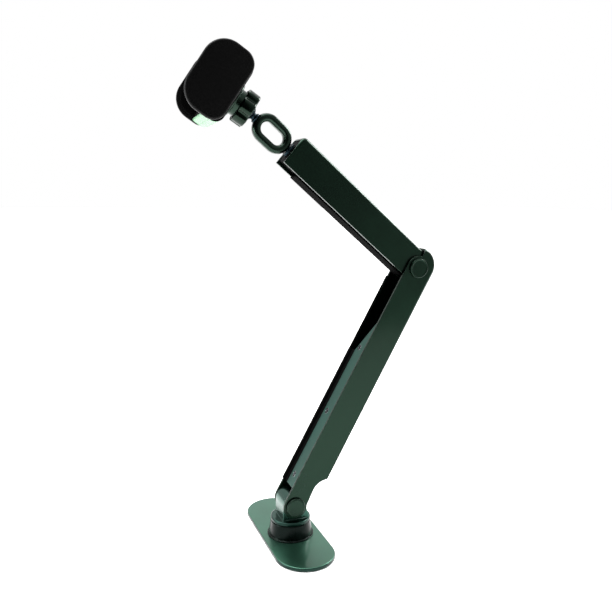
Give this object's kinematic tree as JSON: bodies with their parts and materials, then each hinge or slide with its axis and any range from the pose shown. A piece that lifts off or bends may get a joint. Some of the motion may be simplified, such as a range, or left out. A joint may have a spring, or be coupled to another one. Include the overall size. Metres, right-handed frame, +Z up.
{
  "type": "folding arm phone stand",
  "caption": "Folding desk arm: stadium base plate, swivel hub, two hinged channel arms, an oval ring link and a ball-jointed spring clamp that grips a phone.",
  "frame": {"origin": "on the hub's swivel axis, at the underside of the base pad", "axes": "+Z up; +X to the side the lower arm leans to at rest; both arms fold in the XZ plane; pivots run along Y, with the near side at -Y"},
  "size_m": [0.1911, 0.114, 0.3524],
  "materials": {
    "green_metal": "satin anodised look, very dark green",
    "green_nut": "satin, darker green",
    "steel": "plain",
    "spring_steel": "plain",
    "nylon": "matte",
    "black_plastic": "fine texture",
    "black_rubber": "matte"
  },
  "bodies": {
    "base": {"base_pad": "black_rubber", "base_plate": "green_metal", "base_screws": "steel", "hub_housing": "green_metal", "thrust_washer": "nylon"},
    "turntable": {"swivel_knuckle": "green_metal", "wave_washer": "spring_steel", "retaining_washer": "steel", "swivel_bolt": "steel"},
    "lower_arm": {"lower_arm": "green_metal", "cover_strip": "green_metal", "cable_seal": "black_rubber", "seal_bar": "steel", "cover_screws": "steel", "lower_pivot_bolt": "steel", "lower_pivot_nut": "steel", "lower_cap_near": "green_metal", "lower_cap_far": "green_metal", "lower_friction_washers": "nylon", "elbow_pivot_bolt": "steel", "elbow_pivot_nut": "steel", "elbow_cap_near": "green_metal", "elbow_cap_far": "green_metal", "elbow_friction_washers": "nylon"},
    "upper_arm": {"upper_arm": "green_metal", "elbow_barrel": "steel", "upper_cable_lip": "black_rubber", "end_plug": "black_plastic", "plug_screws": "steel", "link_washer": "nylon"},
    "link": {"link_stud": "steel", "stud_nut": "steel", "stud_spring_washer": "steel", "link_ring": "green_metal", "ball_stud": "steel"},
    "rear_liner": {"rear_ball_liner": "nylon"},
    "front_liner": {"front_ball_liner": "nylon"},
    "clamp": {"socket_cup": "green_metal", "cup_screws": "steel", "clamp_back_shell": "black_plastic", "clamp_front_shell": "black_plastic", "shell_screws": "steel", "face_pad": "black_rubber", "fixed_jaw": "black_plastic", "fixed_jaw_pad": "black_rubber", "fixed_jaw_screws": "steel", "clamp_springs": "spring_steel"},
    "lock_nut": {"lock_nut": "green_nut"},
    "sliding_jaw": {"sliding_jaw": "black_plastic", "sliding_jaw_pad": "black_rubber", "guide_rods": "steel"}
  },
  "joints": [
    {"name": "hub_swivel", "type": "hinge", "parent": "base", "child": "turntable", "pos_m": [0, 0, 0.0166], "axis": [0, 0, 1], "continuous": true},
    {"name": "lower_tilt", "type": "hinge", "parent": "turntable", "child": "lower_arm", "pos_m": [0, 0, 0.0283], "axis": [0, 1, 0], "range_deg": [-40, 45]},
    {"name": "elbow_fold", "type": "hinge", "parent": "lower_arm", "child": "upper_arm", "pos_m": [0.09696, 0, 0.20322], "axis": [0, 1, 0], "range_deg": [-75, 8]},
    {"name": "link_swivel", "type": "hinge", "parent": "upper_arm", "child": "link", "pos_m": [-0.00188, 0, 0.28705], "axis": [-0.7627, 0, 0.6468], "continuous": true},
    {"name": "ball_tilt", "type": "hinge", "parent": "link", "child": "rear_liner", "pos_m": [-0.03261, 0, 0.31311], "axis": [0, 1, 0], "range_deg": [-18, 32]},
    {"name": "ball_pan", "type": "hinge", "parent": "rear_liner", "child": "front_liner", "pos_m": [-0.03261, 0, 0.31311], "axis": [0.5577, 0, 0.83], "range_deg": [-21, 28]},
    {"name": "ball_roll", "type": "hinge", "parent": "front_liner", "child": "clamp", "pos_m": [-0.03261, 0, 0.31311], "axis": [-0.8282, 0.0663, 0.5565], "continuous": true},
    {"name": "lock_nut_turn", "type": "hinge", "parent": "clamp", "child": "lock_nut", "pos_m": [-0.03261, 0, 0.31311], "axis": [-0.8282, 0.0663, 0.5565], "range_deg": [0, 300]},
    {"name": "jaw_slide", "type": "slide", "parent": "clamp", "child": "sliding_jaw", "axis": [-0.0976, -0.9949, -0.0268], "range_m": [0, 0.035], "stiffness_N_per_m": 300, "springref_m": -0.02}
  ]
}
